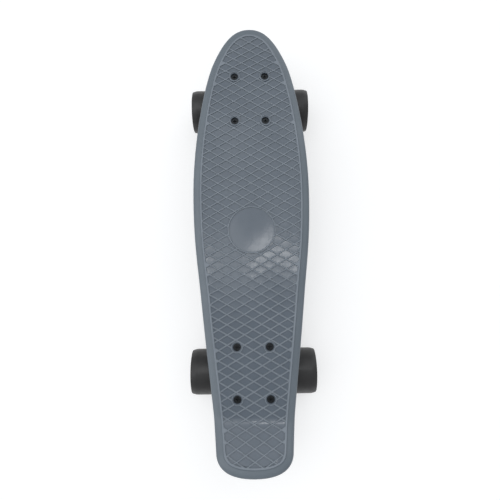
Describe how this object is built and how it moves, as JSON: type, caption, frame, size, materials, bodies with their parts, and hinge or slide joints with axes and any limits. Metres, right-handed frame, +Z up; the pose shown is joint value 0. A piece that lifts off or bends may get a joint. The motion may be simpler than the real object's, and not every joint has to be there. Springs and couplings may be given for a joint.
{
  "type": "cruiser skateboard",
  "caption": "Short plastic cruiser skateboard: a moulded deck with a kicktail and a diamond-ribbed top, on cast trucks with soft wheels.",
  "frame": {"origin": "on the ground, under the centre of the board's bounding box", "axes": "+Y towards the nose, +X to the right seen from above, +Z up"},
  "size_m": [0.1642, 0.5834, 0.0996],
  "materials": {
    "deck_plastic": "moulded, slightly glossy",
    "wheel_urethane": "satin",
    "cast_metal": "satin cast",
    "black_hardware": "black oxide",
    "bright_hardware": "zinc plated",
    "bushing_urethane": "satin"
  },
  "bodies": {
    "board": {"deck": "deck_plastic", "front_deck_bolt_1": "black_hardware", "front_deck_bolt_2": "black_hardware", "front_deck_bolt_3": "black_hardware", "front_deck_bolt_4": "black_hardware", "front_deck_nut_1": "black_hardware", "front_deck_nut_2": "black_hardware", "front_deck_nut_3": "black_hardware", "front_deck_nut_4": "black_hardware", "front_baseplate": "cast_metal", "front_pivot_cup": "bushing_urethane", "front_kingpin": "bright_hardware", "front_kingpin_nut": "bright_hardware", "front_bushing_board_side": "bushing_urethane", "front_bushing_road_side": "bushing_urethane", "front_cup_washer_board_side": "bright_hardware", "front_cup_washer_road_side": "bright_hardware", "rear_deck_bolt_1": "black_hardware", "rear_deck_bolt_2": "black_hardware", "rear_deck_bolt_3": "black_hardware", "rear_deck_bolt_4": "black_hardware", "rear_deck_nut_1": "black_hardware", "rear_deck_nut_2": "black_hardware", "rear_deck_nut_3": "black_hardware", "rear_deck_nut_4": "black_hardware", "rear_baseplate": "cast_metal", "rear_pivot_cup": "bushing_urethane", "rear_kingpin": "bright_hardware", "rear_kingpin_nut": "bright_hardware", "rear_bushing_board_side": "bushing_urethane", "rear_bushing_road_side": "bushing_urethane", "rear_cup_washer_board_side": "bright_hardware", "rear_cup_washer_road_side": "bright_hardware"},
    "front_hanger": {"front_hanger": "cast_metal", "front_axle": "bright_hardware", "front_left_bearing_spacer": "bright_hardware", "front_left_axle_nut": "bright_hardware", "front_right_bearing_spacer": "bright_hardware", "front_right_axle_nut": "bright_hardware"},
    "front_left_wheel": {"front_left_wheel": "wheel_urethane", "front_left_bearing_inner": "bright_hardware", "front_left_bearing_outer": "bright_hardware"},
    "front_right_wheel": {"front_right_wheel": "wheel_urethane", "front_right_bearing_inner": "bright_hardware", "front_right_bearing_outer": "bright_hardware"},
    "rear_hanger": {"rear_hanger": "cast_metal", "rear_axle": "bright_hardware", "rear_left_bearing_spacer": "bright_hardware", "rear_left_axle_nut": "bright_hardware", "rear_right_bearing_spacer": "bright_hardware", "rear_right_axle_nut": "bright_hardware"},
    "rear_left_wheel": {"rear_left_wheel": "wheel_urethane", "rear_left_bearing_inner": "bright_hardware", "rear_left_bearing_outer": "bright_hardware"},
    "rear_right_wheel": {"rear_right_wheel": "wheel_urethane", "rear_right_bearing_inner": "bright_hardware", "rear_right_bearing_outer": "bright_hardware"}
  },
  "joints": [
    {"name": "front_steer", "type": "hinge", "parent": "board", "child": "front_hanger", "pos_m": [0, 0.17532, 0.0396], "axis": [0, 0.9148, 0.4039], "range_deg": [-9, 9], "stiffness_Nm_per_rad": 20, "deforming": ["front_bushing_board_side", "front_bushing_road_side"]},
    {"name": "front_left_wheel_spin", "type": "hinge", "parent": "front_hanger", "child": "front_left_wheel", "pos_m": [-0.0591, 0.19372, 0.03], "axis": [1, 0, 0], "continuous": true},
    {"name": "front_right_wheel_spin", "type": "hinge", "parent": "front_hanger", "child": "front_right_wheel", "pos_m": [0.0591, 0.19372, 0.03], "axis": [1, 0, 0], "continuous": true},
    {"name": "rear_steer", "type": "hinge", "parent": "board", "child": "rear_hanger", "pos_m": [0, -0.15798, 0.0396], "axis": [0, 0.9148, -0.4039], "range_deg": [-9, 9], "stiffness_Nm_per_rad": 20, "deforming": ["rear_bushing_board_side", "rear_bushing_road_side"]},
    {"name": "rear_left_wheel_spin", "type": "hinge", "parent": "rear_hanger", "child": "rear_left_wheel", "pos_m": [-0.0591, -0.17638, 0.03], "axis": [1, 0, 0], "continuous": true},
    {"name": "rear_right_wheel_spin", "type": "hinge", "parent": "rear_hanger", "child": "rear_right_wheel", "pos_m": [0.0591, -0.17638, 0.03], "axis": [1, 0, 0], "continuous": true}
  ]
}
